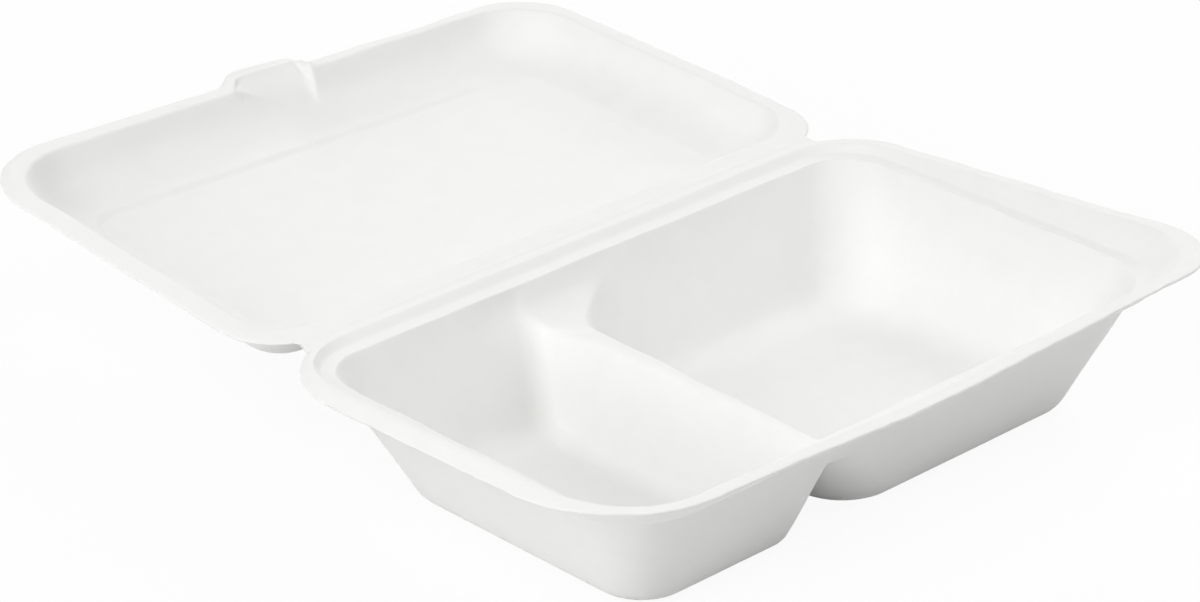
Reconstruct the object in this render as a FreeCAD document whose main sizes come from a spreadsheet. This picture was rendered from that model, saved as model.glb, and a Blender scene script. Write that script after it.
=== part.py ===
"""Hinged two-compartment food clamshell, moulded from sugarcane fibre pulp.

The container is one thin-walled moulding in two halves. The base is a tray with a
small and a large compartment, a flat ledge round its mouth and a raised rim outside
the ledge that gets taller towards the front. The lid is a shallow tray with a narrow
flange and a lock tab in the middle of its far edge. The halves meet at the crease.

Frame: millimetres, +Z up, X along the crease, the base towards -Y of it and the lid
towards +Y. The base stands on Z = 0 with the origin under its middle. The bodies are
drawn from the crease, which lies crease_setback behind the origin.
"""

import FreeCAD
import Part
import math
import os
import re
import Sketcher

SIZES = {
    # shell thickness; a leaning wall is this much thicker measured level
    "base_wall": 1.2,
    "lid_wall": 0.75,
    "lean_factor": 1.12,
    # mouth of the base, measured where the ledge starts
    "ledge_level": 42.8,
    "mouth_half": 112.5,
    "mouth_back": 11.8,
    "mouth_front": 146.5,
    "mouth_back_radius": 16.0,
    "mouth_front_radius": 21.0,
    "mouth_round": 1.6,
    # sideways run of the walls and of their corner radii for each unit of depth
    "side_draft": 0.483,
    "end_draft": 0.415,
    "back_radius_draft": 0.06,
    "front_radius_draft": 0.16,
    # divider
    "ridge_level": 38.2,
    "ridge_left": 33.4,
    "ridge_right": 30.2,
    "small_inner_draft": 0.08,
    "large_inner_draft": 0.56,
    "small_inner_radius": 6.5,
    "small_radius_draft": 0.04,
    "large_inner_radius": 20.0,
    "large_radius_draft": 0.13,
    "groove_level": 30.5,
    "floor_round": 7.0,
    # raised rim of the base
    "ledge_width": 4.3,
    "ledge_back_width": 4.8,
    "rim_half": 122.9,
    "rim_front": 163.0,
    "rim_spread": 6.8,
    "rim_strip": 4.8,
    "rim_back_strip": 4.0,
    "rim_crease_level": 44.7,
    "rim_tilt_deg": 2.85,
    "rim_back_radius": 27.0,
    "rim_front_radius": 27.0,
    "crease_gap": 0.5,
    "crease_level": 45.1,
    "crease_setback": 80.0,
    # lid, measured in its own flat frame from the crease
    "lid_tilt_deg": 3.3,
    "lid_half": 118.6,
    "lid_far": 151.6,
    "lid_flange": 5.8,
    "lid_hinge_flange": 8.6,
    "lid_near_radius": 19.0,
    "lid_far_radius": 26.0,
    "lid_crest_round": 1.2,
    "lid_depth": 16.0,
    "lid_draft": 0.5,
    "lid_radius_draft": 0.2,
    "lid_round": 9.0,
    "panel_border": 13.5,
    "panel_radius": 11.0,
    "panel_step": 1.2,
    # lock tab of the lid
    "tab_half": 17.0,
    "tab_reach": 3.2,
    "tab_drop": 9.0,
    "tab_lean": 3.0,
    "tab_round": 3.0,
}


def bound(expression):
    """Expression in which each size's name points at its cell of the sheet."""
    return re.sub(r"[a-z]+(_[a-z]+)+", lambda found: "sizes." + found.group(), expression)


def value_of(body, expression):
    """Number that an expression of size names gives with the sheet's values."""
    return float(body.Document.getObject("sizes").evalExpression(bound(expression)))


def make_sheet(doc):
    """Spreadsheet with one aliased cell for each driving size."""
    sheet = doc.addObject("Spreadsheet::Sheet", "sizes")
    for row, (name, value) in enumerate(SIZES.items(), start=1):
        sheet.set(f"A{row}", name)
        sheet.set(f"B{row}", str(value))
        sheet.setAlias(f"B{row}", name)
    doc.recompute()
    return sheet


def on_mouth(body, point, level):
    """Whether a point lies on the inner edge of the ledge."""
    inside = abs(point.x) < value_of(body, "mouth_half") + 0.1
    between = -value_of(body, "mouth_front") - 0.1 < point.y < 0.1 - value_of(body, "mouth_back")
    return abs(point.z - level) < 0.01 and inside and between


def make_body(doc, name, level, tilt):
    """PartDesign body whose own origin is on the crease, turned about the crease."""
    body = doc.addObject("PartDesign::Body", name)
    body.Label = name
    turn = FreeCAD.Rotation(FreeCAD.Vector(1, 0, 0), 1.0)
    body.Placement = FreeCAD.Placement(FreeCAD.Vector(0, 0, 0), turn)
    body.setExpression("Placement.Rotation.Angle", bound(tilt))
    body.setExpression("Placement.Base.y", bound("crease_setback"))
    body.setExpression("Placement.Base.z", bound(level))
    return body


def add_sketch(body, name, level, tilt=None):
    """Sketch parallel to the body's XY plane at a height; a tilt lifts its -Y end."""
    sketch = body.newObject("Sketcher::SketchObject", name)
    plane = next(f for f in body.Origin.OriginFeatures if f.Role == "XY_Plane")
    sketch.AttachmentSupport = [(plane, "")]
    sketch.MapMode = "FlatFace"
    turn = FreeCAD.Rotation(FreeCAD.Vector(-1, 0, 0), 1.0 if tilt else 0.0)
    sketch.AttachmentOffset = FreeCAD.Placement(FreeCAD.Vector(0, 0, 0), turn)
    sketch.setExpression("AttachmentOffset.Base.z", bound(level))
    if tilt:
        sketch.setExpression("AttachmentOffset.Rotation.Angle", bound(tilt))
    return sketch


def drive(sketch, kind, *where, size):
    """Add a driving dimension whose value is an expression of the sheet."""
    index = sketch.addConstraint(Sketcher.Constraint(kind, *where))
    sketch.setExpression(f"Constraints[{index}]", bound(size))


def fix_point(body, sketch, x, y):
    """Helper point of a sketch held at a place given by two expressions."""
    spot = FreeCAD.Vector(value_of(body, x), value_of(body, y), 0)
    point = sketch.addGeometry(Part.Point(spot), True)
    drive(sketch, "DistanceX", -1, 1, point, 1, spot.x, size=x)
    drive(sketch, "DistanceY", -1, 1, point, 1, spot.y, size=y)
    return point


def add_arc(sketch, x, y, radius, start):
    """Quarter arc round a centre, from an angle in degrees."""
    circle = Part.Circle(FreeCAD.Vector(x, y, 0), FreeCAD.Vector(0, 0, 1), radius)
    begin = math.radians(start)
    return sketch.addGeometry(Part.ArcOfCircle(circle, begin, begin + math.pi / 2))


def outline(body, name, level, sides, radii, tilt=None, spread=None):
    """Closed outline of four straight sides joined by corner arcs.

    sides holds expressions for the left, right, front and back sides, and radii those
    of the back-left, back-right, front-right and front-left corners. With a spread the
    left and right sides are measured at Y = 0 and lie that much wider at the front.
    """
    sketch = add_sketch(body, name, level, tilt)
    left, right, front, back = [value_of(body, side) for side in sides]
    rounds = [value_of(body, radius) for radius in radii]
    corners = ((left, back, 1, -1), (right, back, -1, -1),
               (right, front, -1, 1), (left, front, 1, 1))
    arcs = []
    for (x, y, in_x, in_y), radius, start in zip(corners, rounds, (90, 0, 270, 180)):
        arcs.append(add_arc(sketch, x + in_x * radius, y + in_y * radius, radius, start))
    lines = []
    for index, arc in enumerate(arcs):
        tail = sketch.getPoint(arc, 1)
        head = sketch.getPoint(arcs[(index + 1) % 4], 2)
        lines.append(sketch.addGeometry(Part.LineSegment(tail, head)))
    for index, line in enumerate(lines):
        after = arcs[(index + 1) % 4]
        sketch.addConstraint(Sketcher.Constraint("Tangent", arcs[index], 1, line, 1))
        sketch.addConstraint(Sketcher.Constraint("Tangent", line, 2, after, 2))
    for arc, radius, value in zip(arcs, radii, rounds):
        drive(sketch, "Radius", arc, value, size=radius)
    back_line, right_line, front_line, left_line = lines
    for line, place, value in ((front_line, sides[2], front), (back_line, sides[3], back)):
        sketch.addConstraint(Sketcher.Constraint("Horizontal", line))
        drive(sketch, "DistanceY", -1, 1, line, 1, value, size=place)
    for line, place, value, way in ((left_line, sides[0], left, "-"),
                                    (right_line, sides[1], right, "+")):
        if spread is None:
            sketch.addConstraint(Sketcher.Constraint("Vertical", line))
            drive(sketch, "DistanceX", -1, 1, line, 1, value, size=place)
            continue
        near = fix_point(body, sketch, place, "0.001")
        far = fix_point(body, sketch, f"{place} {way} {spread}", sides[2])
        sketch.addConstraint(Sketcher.Constraint("PointOnObject", near, 1, line))
        sketch.addConstraint(Sketcher.Constraint("PointOnObject", far, 1, line))
    return sketch


def loft(body, name, first, second, cut=False):
    """Straight loft between two sketches, added to the body or cut from it."""
    kind = "PartDesign::SubtractiveLoft" if cut else "PartDesign::AdditiveLoft"
    before = volume_of(body)
    feature = body.newObject(kind, name)
    feature.Profile = (first, [""])
    feature.Sections = [(second, [""])]
    feature.Ruled = True
    body.Document.recompute()
    check_change(body, name, before, cut)
    return feature


def pad(body, name, sketch, length, down=False):
    """Pad a sketch along its normal, or against it."""
    before = volume_of(body)
    feature = body.newObject("PartDesign::Pad", name)
    feature.Profile = (sketch, [""])
    feature.setExpression("Length", bound(length))
    feature.Reversed = down
    body.Document.recompute()
    check_change(body, name, before, False)
    return feature


def pocket(body, name, sketch, length):
    """Cut a sketch into the body against its normal."""
    before = volume_of(body)
    feature = body.newObject("PartDesign::Pocket", name)
    feature.Profile = (sketch, [""])
    feature.setExpression("Length", bound(length))
    body.Document.recompute()
    check_change(body, name, before, True)
    return feature


def fillet(body, name, edges, radius):
    """Round the named edges of the body's last feature."""
    base = body.Tip
    feature = body.newObject("PartDesign::Fillet", name)
    feature.Base = (base, edges)
    feature.setExpression("Radius", bound(radius))
    body.Document.recompute()
    return feature


def volume_of(body):
    """Volume of the body so far."""
    return body.Shape.Volume if body.Tip else 0.0


def check_change(body, name, before, cut):
    """Stop when a feature did not change the volume the way it should."""
    change = volume_of(body) - before
    if change == 0.0 or (change > 0.0) == cut:
        raise RuntimeError(f"{name} changed the volume by {change:.3f}")


def edges_where(body, keep):
    """Names of the edges of the body's last feature whose points all pass a test."""
    names = []
    for index, edge in enumerate(body.Tip.Shape.Edges, start=1):
        if all(keep(point) for point in edge.discretize(7)):
            names.append(f"Edge{index}")
    return names


def wall_place(level):
    """Depth below the ledge, as an expression."""
    return f"(ledge_level - ({level}))"


def inner_side(level):
    """Half width of the cavity at a level."""
    return f"(mouth_half - side_draft * {wall_place(level)})"


def inner_front(level):
    """Distance from the crease to the front wall's inside at a level."""
    return f"(mouth_front - end_draft * {wall_place(level)})"


def inner_back(level):
    """Distance from the crease to the back wall's inside at a level."""
    return f"(mouth_back + end_draft * {wall_place(level)})"


def corner_back(level):
    """Inside radius of the back corners at a level."""
    return f"(mouth_back_radius - back_radius_draft * {wall_place(level)})"


def corner_front(level):
    """Inside radius of the front corners at a level."""
    return f"(mouth_front_radius - front_radius_draft * {wall_place(level)})"


def small_inner(level):
    """Distance of the small compartment's divider wall from X = 0 at a level."""
    return f"(ridge_left + small_inner_draft * (ridge_level - ({level})))"


def large_inner(level):
    """Distance of the large compartment's divider wall from X = 0 at a level."""
    return f"(ridge_right - large_inner_draft * (ridge_level - ({level})))"


def small_corner(level):
    """Inside radius of the small compartment's corners at the divider."""
    return f"(small_inner_radius + small_radius_draft * (ridge_level - ({level})))"


def large_corner(level):
    """Inside radius of the large compartment's corners at the divider."""
    return f"(large_inner_radius - large_radius_draft * (ridge_level - ({level})))"


def cavity_outline(body, name, level, grow):
    """Outline of the whole cavity at a level, grown outward."""
    side, grown = inner_side(level), f"({grow})"
    sides = (f"-({side} + {grown})", f"{side} + {grown}",
             f"-({inner_front(level)} + {grown})", f"-({inner_back(level)} - {grown})")
    back = f"{corner_back(level)} + {grown}"
    front = f"{corner_front(level)} + {grown}"
    return outline(body, name, level, sides, (back, back, front, front))


def small_outline(body, name, level, grow):
    """Outline of the small compartment at a level, grown outward."""
    grown = f"({grow})"
    sides = (f"-({inner_side(level)} + {grown})", f"-({small_inner(level)} - {grown})",
             f"-({inner_front(level)} + {grown})", f"-({inner_back(level)} - {grown})")
    inner = f"{small_corner(level)} + {grown}"
    radii = (f"{corner_back(level)} + {grown}", inner, inner,
             f"{corner_front(level)} + {grown}")
    return outline(body, name, level, sides, radii)


def large_outline(body, name, level, grow):
    """Outline of the large compartment at a level, grown outward."""
    grown = f"({grow})"
    sides = (f"-({large_inner(level)} + {grown})", f"{inner_side(level)} + {grown}",
             f"-({inner_front(level)} + {grown})", f"-({inner_back(level)} - {grown})")
    inner = f"{large_corner(level)} + {grown}"
    radii = (inner, f"{corner_back(level)} + {grown}",
             f"{corner_front(level)} + {grown}", inner)
    return outline(body, name, level, sides, radii)


def groove_outline(body, name, level):
    """Outline of the hollow under the divider at a level."""
    slant = "base_wall * lean_factor"
    sides = (f"-({small_inner(level)} - {slant})", f"-({large_inner(level)} + {slant})",
             f"-({inner_front(level)} - {slant})", f"-({inner_back(level)} + {slant})")
    radius = "0.2 * base_wall"
    return outline(body, name, level, sides, (radius, radius, radius, radius))


def rim_outline(body, name, level, shrink, shrink_back):
    """Outline in the sloping plane of the rim, shrunk inward from its outer edge."""
    sides = (f"-(rim_half - ({shrink}))", f"rim_half - ({shrink})",
             f"-(rim_front - ({shrink}))", f"-({shrink_back})")
    back = f"rim_back_radius - ({shrink})"
    front = f"rim_front_radius - ({shrink})"
    radii = (back, back, front, front)
    return outline(body, name, level, sides, radii, "rim_tilt_deg", "rim_spread")


def ledge_outline(body, name, level, grow):
    """Outline of the ledge's outer edge, grown outward."""
    side = f"mouth_half + ledge_width + {grow}"
    sides = (f"-({side})", side, f"-(mouth_front + ledge_width + {grow})",
             f"-(mouth_back - ledge_back_width - {grow})")
    back = f"mouth_back_radius + ledge_width + {grow}"
    front = f"mouth_front_radius + ledge_width + {grow}"
    return outline(body, name, level, sides, (back, back, front, front))


def base_tray(doc):
    """Tray with two compartments, a ledge and a raised rim."""
    body = make_body(doc, "base_tray", "0.0 * crease_level", "0.0 * lid_tilt_deg")
    slant = "base_wall * lean_factor"
    under = "ledge_level - base_wall"
    loft(body, "upper_walls",
         cavity_outline(body, "walls_top", under, slant),
         cavity_outline(body, "walls_split", "groove_level", slant))
    loft(body, "small_bulge",
         small_outline(body, "small_bulge_top", "groove_level", slant),
         small_outline(body, "small_bulge_foot", "0.0", slant))
    loft(body, "large_bulge",
         large_outline(body, "large_bulge_top", "groove_level", slant),
         large_outline(body, "large_bulge_foot", "0.0", slant))
    loft(body, "seat_outside",
         ledge_outline(body, "seat_outside_foot", under, "0.6 * base_wall"),
         rim_outline(body, "seat_outside_top", "rim_crease_level - base_wall",
                     "rim_strip - 0.6 * base_wall", "rim_back_strip - 0.6 * base_wall"))
    pad(body, "rim_plate",
        rim_outline(body, "rim_edge", "rim_crease_level", "0.0 * rim_strip",
                    "0.5 * crease_gap"), "base_wall", down=True)
    loft(body, "seat_inside",
         ledge_outline(body, "seat_inside_foot", "ledge_level", "0.0 * base_wall"),
         rim_outline(body, "seat_inside_top", "rim_crease_level + 0.001 * base_wall",
                     "rim_strip", "rim_back_strip"), cut=True)
    loft(body, "cavity",
         cavity_outline(body, "cavity_top", "ledge_level", "0.0 * base_wall"),
         cavity_outline(body, "cavity_low", "ridge_level", "0.0 * base_wall"), cut=True)
    loft(body, "small_pocket",
         small_outline(body, "small_top", "ridge_level", "0.0 * base_wall"),
         small_outline(body, "small_floor", "base_wall", "0.0 * base_wall"), cut=True)
    loft(body, "large_pocket",
         large_outline(body, "large_top", "ridge_level", "0.0 * base_wall"),
         large_outline(body, "large_floor", "base_wall", "0.0 * base_wall"), cut=True)
    loft(body, "groove",
         groove_outline(body, "groove_mouth", "groove_level"),
         groove_outline(body, "groove_roof", "ridge_level - 1.3 * base_wall"), cut=True)
    floor = value_of(body, "base_wall")
    floors = edges_where(body, lambda point: abs(point.z - floor) < 0.01)
    fillet(body, "floor_rounding", floors, "floor_round")
    feet = edges_where(body, lambda point: abs(point.z) < 0.01)
    fillet(body, "foot_rounding", feet, "floor_round + 0.8 * base_wall")
    mouth = value_of(body, "ledge_level")
    crest = edges_where(body, lambda point: on_mouth(body, point, mouth))
    fillet(body, "crest_rounding", crest, "mouth_round")
    return body


def lid_outline(body, name, depth, grow):
    """Outline of the lid's hollow at a depth under its flange, grown outward."""
    lean = f"lid_draft * ({depth})"
    side = f"lid_half - lid_flange - {lean} + {grow}"
    sides = (f"-({side})", side, f"lid_hinge_flange + {lean} - {grow}",
             f"lid_far - lid_flange - {lean} + {grow}")
    tight = f"lid_radius_draft * ({depth})"
    far = f"lid_far_radius - lid_flange - {tight} + {grow}"
    near = f"lid_near_radius - lid_flange - {tight} + {grow}"
    return outline(body, name, f"-({depth})", sides, (far, far, near, near))


def panel_outline(body, name, depth, grow):
    """Outline of the lid's flat panel at a depth under the flange, grown outward."""
    lean = "(lid_draft * lid_depth + panel_border)"
    side = f"lid_half - lid_flange - {lean} + {grow}"
    sides = (f"-({side})", side, f"lid_hinge_flange + {lean} - {grow}",
             f"lid_far - lid_flange - {lean} + {grow}")
    radius = f"panel_radius + {grow}"
    return outline(body, name, f"-({depth})", sides, (radius, radius, radius, radius))


def tab_outline(body, name, depth, grow, reach):
    """Outline of the lock tab at a depth under the flange, grown outward."""
    side = f"tab_half + {grow}"
    sides = (f"-({side})", side, "lid_far - 2.5 * lid_flange",
             f"lid_far + {reach} + {grow}")
    outer = f"tab_round + {grow}"
    inner = "0.2 * tab_round"
    return outline(body, name, f"-({depth})", sides, (outer, outer, inner, inner))


def lid(doc):
    """Shallow lid with a flange and a lock tab, tilted about the crease."""
    body = make_body(doc, "lid", "crease_level", "lid_tilt_deg")
    slant = "lid_wall * lean_factor"
    loft(body, "lid_walls",
         lid_outline(body, "lid_walls_top", "0.5 * lid_wall", slant),
         lid_outline(body, "lid_walls_foot", "lid_depth", slant))
    flange = outline(body, "flange_edge", "0.0 * lid_wall",
                     ("-lid_half", "lid_half", "0.5 * crease_gap", "lid_far"),
                     ("lid_far_radius", "lid_far_radius",
                      "lid_near_radius", "lid_near_radius"))
    pad(body, "flange_plate", flange, "lid_wall", down=True)
    loft(body, "tab_outside",
         tab_outline(body, "tab_outside_top", "0.0 * tab_drop", "0.0 * lid_wall", "tab_reach"),
         tab_outline(body, "tab_outside_foot", "tab_drop", "0.0 * lid_wall",
                     "tab_reach - tab_lean"))
    floor_depth = "lid_depth - lid_wall"
    loft(body, "lid_hollow",
         lid_outline(body, "lid_mouth", "0.0 * lid_wall", "0.0 * lid_wall"),
         lid_outline(body, "lid_floor", floor_depth, "0.0 * lid_wall"), cut=True)
    inner = local_edges(body, f"-({floor_depth})")
    fillet(body, "lid_floor_rounding", inner, "lid_round")
    outer = local_edges(body, "-lid_depth")
    fillet(body, "lid_foot_rounding", outer, "lid_round + 0.8 * lid_wall")
    fillet(body, "lid_crest_rounding", mouth_edges(body), "lid_crest_round")
    loft(body, "tab_hollow",
         tab_outline(body, "tab_mouth", "0.0 * tab_drop", "(-lid_wall)", "tab_reach"),
         tab_outline(body, "tab_floor", "tab_drop - lid_wall", "(-lid_wall)",
                     "tab_reach - tab_lean"), cut=True)
    pad(body, "panel_outside",
        panel_outline(body, "panel_edge", "lid_depth", "0.0 * lid_wall"),
        "panel_step", down=True)
    pocket(body, "panel_inside",
           panel_outline(body, "panel_inner_edge", floor_depth, "(-lid_wall)"),
           "panel_step")
    return body


def local_edges(body, level):
    """Edges of the body's last feature at a height of the body's own frame."""
    height = value_of(body, level)
    shape = body.Tip.Shape
    names = []
    for index, edge in enumerate(shape.Edges, start=1):
        if all(abs(point.z - height) < 0.01 for point in edge.discretize(7)):
            names.append(f"Edge{index}")
    return names


def mouth_edges(body):
    """Edges round the lid's inner mouth, which lie inside its flange."""
    side = value_of(body, "lid_half - lid_flange") + 0.01
    near = value_of(body, "lid_hinge_flange") - 0.01
    far = value_of(body, "lid_far - lid_flange") + 0.01
    names = []
    for index, edge in enumerate(body.Tip.Shape.Edges, start=1):
        points = edge.discretize(7)
        if all(abs(p.z) < 0.01 and abs(p.x) < side and near < p.y < far for p in points):
            names.append(f"Edge{index}")
    return names


def main():
    """Build the document, check it and export each sub-part."""
    doc = FreeCAD.newDocument("clamshell")
    make_sheet(doc)
    bodies = [base_tray(doc), lid(doc)]
    doc.recompute()
    for item in doc.Objects:
        if "Invalid" in item.State or "Error" in item.State:
            raise RuntimeError(f"{item.Name} is {item.State}")
    os.makedirs("parts", exist_ok=True)
    for body in bodies:
        if body.Shape.isNull() or not body.Shape.isValid():
            raise RuntimeError(f"{body.Label} has no valid shape")
        body.Shape.exportStep(f"parts/{body.Label}.step")
        print(body.Label, len(body.Shape.Solids), round(body.Shape.Volume, 1))


main()
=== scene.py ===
"""Hinged two-compartment clamshell moulded from bleached sugarcane fibre pulp.

The base and the lid are each one thin moulded shell. Every shell is a single closed
skin: an upper face, a rolled edge and an underside. The faces follow the same sizes as
the solids, with the soft roundings, the slightly wavy rim and the sprung twist of the
lid that wet pulp takes on as it dries. Metres, +Z up, in the frame of the solids.
"""

import logging
import math
from collections.abc import Callable
from dataclasses import dataclass, replace
from enum import Enum
from typing import ClassVar

import bpy
import numpy as np
from mathutils import Matrix, Vector


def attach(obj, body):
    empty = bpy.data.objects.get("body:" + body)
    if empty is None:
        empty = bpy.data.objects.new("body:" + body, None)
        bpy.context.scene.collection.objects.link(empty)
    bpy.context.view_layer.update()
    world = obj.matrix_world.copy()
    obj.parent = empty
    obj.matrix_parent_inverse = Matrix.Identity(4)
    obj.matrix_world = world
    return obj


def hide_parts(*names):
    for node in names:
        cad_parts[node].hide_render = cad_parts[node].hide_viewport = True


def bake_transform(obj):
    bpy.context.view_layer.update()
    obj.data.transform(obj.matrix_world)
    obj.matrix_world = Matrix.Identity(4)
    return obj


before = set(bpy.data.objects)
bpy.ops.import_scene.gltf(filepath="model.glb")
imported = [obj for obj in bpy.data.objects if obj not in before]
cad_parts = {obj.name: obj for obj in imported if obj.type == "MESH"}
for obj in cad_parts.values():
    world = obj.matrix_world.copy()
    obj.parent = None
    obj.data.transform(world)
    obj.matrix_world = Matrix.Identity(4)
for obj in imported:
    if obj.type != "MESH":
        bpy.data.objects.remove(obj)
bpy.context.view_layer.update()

LOG = logging.getLogger("clamshell")
MM = 0.001
# the crease, in millimetres: how far it lies behind the origin, and the level and slope
# with which the base's rim and the opened lid leave it
CREASE_Y = 80.0
RIM_LEVEL = 44.7
RIM_SLOPE = 0.0498
LID_LEVEL = 45.1
LID_TILT = math.radians(3.3)

# four values, one for each corner: back-left, back-right, front-right, front-left
Corners = tuple[float, float, float, float]
# pairs of a place and the wanted gap between grid lines there
Gaps = tuple[tuple[float, float], ...]
# steps of a rolled edge: outward in millimetres, and down as a share of the wall
Roll = tuple[tuple[float, float], ...]
# how much of the rim's frayed edge the softer crest of a mouth takes on
CREST_FRAY = 0.7


class Body(Enum):
    """The two moving bodies of the container."""

    BASE = "base"
    COVER = "cover"


def linear(code: str) -> tuple[float, float, float, float]:
    """Turn an sRGB hex colour into linear light.

    Args:
        code: Six hex digits, such as "f2efe8".

    Returns:
        Red, green, blue and an alpha of one.
    """
    parts = [int(code[at:at + 2], 16) / 255.0 for at in (0, 2, 4)]
    light = [p / 12.92 if p <= 0.04045 else ((p + 0.055) / 1.055) ** 2.4 for p in parts]
    return light[0], light[1], light[2], 1.0


def add_node(tree: bpy.types.NodeTree, kind: str, settings: dict | None = None,
             **links: object) -> bpy.types.Node:
    """Add one node, set its properties and fill or link its inputs.

    Args:
        tree: Tree that gets the node.
        kind: Identifier of the node type.
        settings: Properties of the node, by name.
        **links: Inputs by name, with underscores for spaces, or i0, i1 by number. A
            socket is linked and anything else becomes the input's own value.

    Returns:
        The new node.
    """
    node = tree.nodes.new(kind)
    for name, value in (settings or {}).items():
        setattr(node, name, value)
    for name, value in links.items():
        numbered = name[0] == "i" and name[1:].isdigit()
        socket = node.inputs[int(name[1:])] if numbered else node.inputs[name.replace("_", " ")]
        if isinstance(value, bpy.types.NodeSocket):
            tree.links.new(value, socket)
        else:
            socket.default_value = value
    return node


# ------------------------------------------------------------------ distances in a plan


def ramp(value: np.ndarray, start: float, length: float) -> np.ndarray:
    """Rise from 0 at a start to 1 a length further on, and stay level beyond both."""
    return np.clip((value - start) / length, 0.0, 1.0)


def ease(share: np.ndarray) -> np.ndarray:
    """Let a share that goes from 0 to 1 start and stop gently."""
    return share * share * (3 - 2 * share)


def past_arcs(over_x: np.ndarray, over_y: np.ndarray, radius: np.ndarray | float) -> np.ndarray:
    """Distance outside a rectangle with rounded corners.

    Args:
        over_x: How far each point lies past the centres of the corner arcs along X.
        over_y: The same along Y.
        radius: Radius of the corners.

    Returns:
        The distances, negative inside the rectangle.
    """
    inside = np.minimum(np.maximum(over_x, over_y), 0.0)
    return inside + np.hypot(np.maximum(over_x, 0.0), np.maximum(over_y, 0.0)) - radius


def round_meet(first: np.ndarray, second: np.ndarray, radius: float) -> np.ndarray:
    """Join two solids with a concave fillet, from the distances outside each of them."""
    inner = np.hypot(np.maximum(radius - first, 0.0), np.maximum(radius - second, 0.0))
    return np.maximum(radius, np.minimum(first, second)) - inner


def round_edge(first: np.ndarray, second: np.ndarray, radius: float) -> np.ndarray:
    """Overlap of two solids with a rounded outer edge, from the distances outside them."""
    outer = np.hypot(np.maximum(first + radius, 0.0), np.maximum(second + radius, 0.0))
    return np.minimum(np.maximum(first, second), -radius) + outer


def solve_height(field_at: Callable[[np.ndarray], np.ndarray], low: float, high: float,
                 shape: tuple[int, ...], halvings: int = 40) -> np.ndarray:
    """Find the height at which a field that rises with height passes zero.

    Args:
        field_at: Function from an array of heights to the field there.
        low: Height below every answer.
        high: Height above every answer.
        shape: Shape of the array of heights.
        halvings: How often the span between the two heights is halved.

    Returns:
        The heights.
    """
    bottom, top = np.full(shape, low), np.full(shape, high)
    for _ in range(halvings):
        middle = (bottom + top) / 2
        above = field_at(middle) > 0.0
        top = np.where(above, middle, top)
        bottom = np.where(above, bottom, middle)
    return (bottom + top) / 2


@dataclass(frozen=True)
class Wall:
    """One side of a drafted hollow: its place at a level and its run per unit depth."""

    place: float
    draft: float

    def at(self, depth: np.ndarray, inward: float) -> np.ndarray:
        """Place of the side at a depth, moving inward as it goes down."""
        return self.place + inward * self.draft * depth

    def lower(self, depth: float, inward: float) -> "Wall":
        """The same side placed at a lower level, to a hundredth of a millimetre."""
        return Wall(round(self.at(depth, inward), 2), self.draft)


@dataclass(frozen=True)
class Hollow:
    """A drafted hollow with rounded corners, in millimetres.

    Sides are placed at the level named top. Radii shrink with depth at the rates in
    tighten. Face is the share of a level distance that is left square to the sides.
    """

    top: float
    left: Wall
    right: Wall
    front: Wall
    back: Wall
    radii: Corners
    tighten: Corners
    face: float

    def below(self, top: float, **changes: object) -> "Hollow":
        """The same hollow placed at a lower level, with some of its values changed.

        Args:
            top: The lower level.
            **changes: Sides, radii or rates of its own, by name.

        Returns:
            The new hollow.
        """
        depth = self.top - top
        lowered = replace(self, top=top, left=self.left.lower(depth, 1.0),
                          right=self.right.lower(depth, -1.0),
                          front=self.front.lower(depth, 1.0),
                          back=self.back.lower(depth, -1.0))
        return replace(lowered, **changes)

    def sides(self, depth: np.ndarray | float, grow: float) -> tuple[np.ndarray | float, ...]:
        """Places of the sides at a depth, pushed outward by an amount.

        Args:
            depth: Depth below the top.
            grow: How far each side is pushed outward.

        Returns:
            Left, right, front and back.
        """
        return (self.left.at(depth, 1.0) - grow, self.right.at(depth, -1.0) + grow,
                self.front.at(depth, 1.0) - grow, self.back.at(depth, -1.0) + grow)

    def away(self, x: np.ndarray, y: np.ndarray, z: np.ndarray,
             grow: float = 0.0) -> np.ndarray:
        """Distance outside the hollow, square to its sides and negative inside it.

        Args:
            x: X of the points.
            y: Y of the points.
            z: Height of the points.
            grow: How far the sides are pushed outward.

        Returns:
            The distances.
        """
        depth = self.top - z
        left, right, front, back = self.sides(depth, grow)
        middle_x, middle_y = (left + right) / 2, (front + back) / 2
        radii = [np.maximum(r - t * depth, 0.5) + grow for r, t in zip(self.radii, self.tighten)]
        at_back = y > middle_y
        radius = np.where(x < middle_x, np.where(at_back, radii[0], radii[3]),
                          np.where(at_back, radii[1], radii[2]))
        over_x = np.abs(x - middle_x) - (right - left) / 2 + radius
        over_y = np.abs(y - middle_y) - (back - front) / 2 + radius
        return self.face * past_arcs(over_x, over_y, radius)

    def outline(self, z: float, grow: float = 0.0) -> "Outline":
        """Outline of the hollow at one level.

        Args:
            z: The level.
            grow: How far the sides are pushed outward.

        Returns:
            The outline.
        """
        depth = self.top - z
        radii = tuple(r - t * depth + grow for r, t in zip(self.radii, self.tighten))
        return Outline.box(*self.sides(depth, grow), radii)


# --------------------------------------------------------------------------- outlines


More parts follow.
